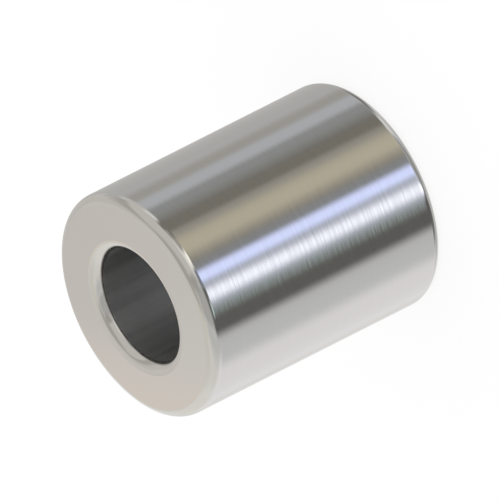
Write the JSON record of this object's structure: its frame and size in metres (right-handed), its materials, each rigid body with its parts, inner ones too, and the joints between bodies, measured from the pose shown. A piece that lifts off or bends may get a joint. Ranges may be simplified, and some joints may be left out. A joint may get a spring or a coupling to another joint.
{
  "type": "spacer sleeve",
  "caption": "Plain round steel spacer sleeve with a straight through bore, flat end faces and rounded edges.",
  "frame": {"origin": "centre of the lower end face, the face that the sleeve stands on", "axes": "+Z along the bore axis, from the lower end face to the upper one; X and Y are interchangeable, because the sleeve is round"},
  "size_m": [0.013, 0.013, 0.016],
  "materials": {
    "steel": "fine turned"
  },
  "bodies": {
    "root": {"sleeve": "steel"}
  },
  "joints": []
}
